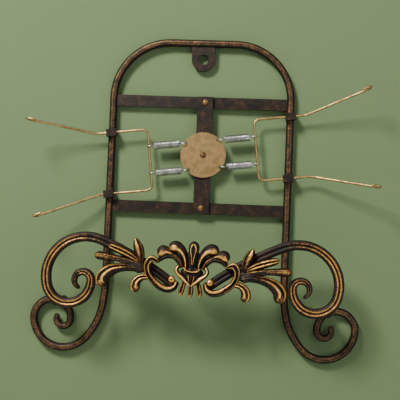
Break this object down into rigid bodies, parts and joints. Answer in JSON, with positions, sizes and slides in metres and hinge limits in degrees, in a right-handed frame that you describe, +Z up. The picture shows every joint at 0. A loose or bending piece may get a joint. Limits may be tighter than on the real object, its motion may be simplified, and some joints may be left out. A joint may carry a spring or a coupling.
{
  "type": "plate display rack",
  "caption": "Wall-hung plate display rack: scroll bars and a cast acanthus crest in front, a hoop frame behind, and sprung wire claws that grip the plate's rim.",
  "frame": {"origin": "middle of the hanging eye's bore, halfway through its thickness; the wall is the plane y = +5 mm", "axes": "+X to the viewer's right, +Z up, +Y into the wall, so the viewer stands at -Y"},
  "size_m": [0.306, 0.056, 0.2814],
  "materials": {
    "gilt_bronze": "dark bronze paint with antique gold rubbed on the raised edges",
    "back_bronze": "dark brown bronze paint, lightly rubbed",
    "claw_brass": "drawn brass wire, tarnished",
    "spring_steel": "bright drawn spring wire",
    "pad_rubber": "matt"
  },
  "bodies": {
    "root": {"back_bar_left": "back_bronze", "back_bar_right": "back_bronze", "hanging_eye": "back_bronze", "upper_cross_bar": "back_bronze", "lower_cross_bar": "back_bronze", "centre_strap": "back_bronze", "spring_hub": "claw_brass", "frame_rivets": "back_bronze", "guide_blocks": "back_bronze", "wall_pads": "pad_rubber", "standoff_left": "back_bronze", "standoff_right": "back_bronze", "front_scroll_left": "gilt_bronze", "front_scroll_right": "gilt_bronze", "crest_centre": "gilt_bronze", "crest_spray_left": "gilt_bronze", "crest_spray_right": "gilt_bronze", "crest_rivets": "back_bronze", "spring_left_upper": "spring_steel", "spring_left_lower": "spring_steel", "spring_right_upper": "spring_steel", "spring_right_lower": "spring_steel"},
    "left_claw": {"claw_wire_left": "claw_brass"},
    "right_claw": {"claw_wire_right": "claw_brass"}
  },
  "joints": [
    {"name": "left_claw_slide", "type": "slide", "parent": "root", "child": "left_claw", "axis": [-0.9925, 0, -0.1219], "range_m": [0, 0.015], "stiffness_N_per_m": 400, "springref_m": -0.008, "deforming": ["spring_left_upper", "spring_left_lower"]},
    {"name": "right_claw_slide", "type": "slide", "parent": "root", "child": "right_claw", "axis": [0.9925, 0, 0.1219], "range_m": [0, 0.015], "stiffness_N_per_m": 400, "springref_m": -0.008, "deforming": ["spring_right_upper", "spring_right_lower"]}
  ]
}
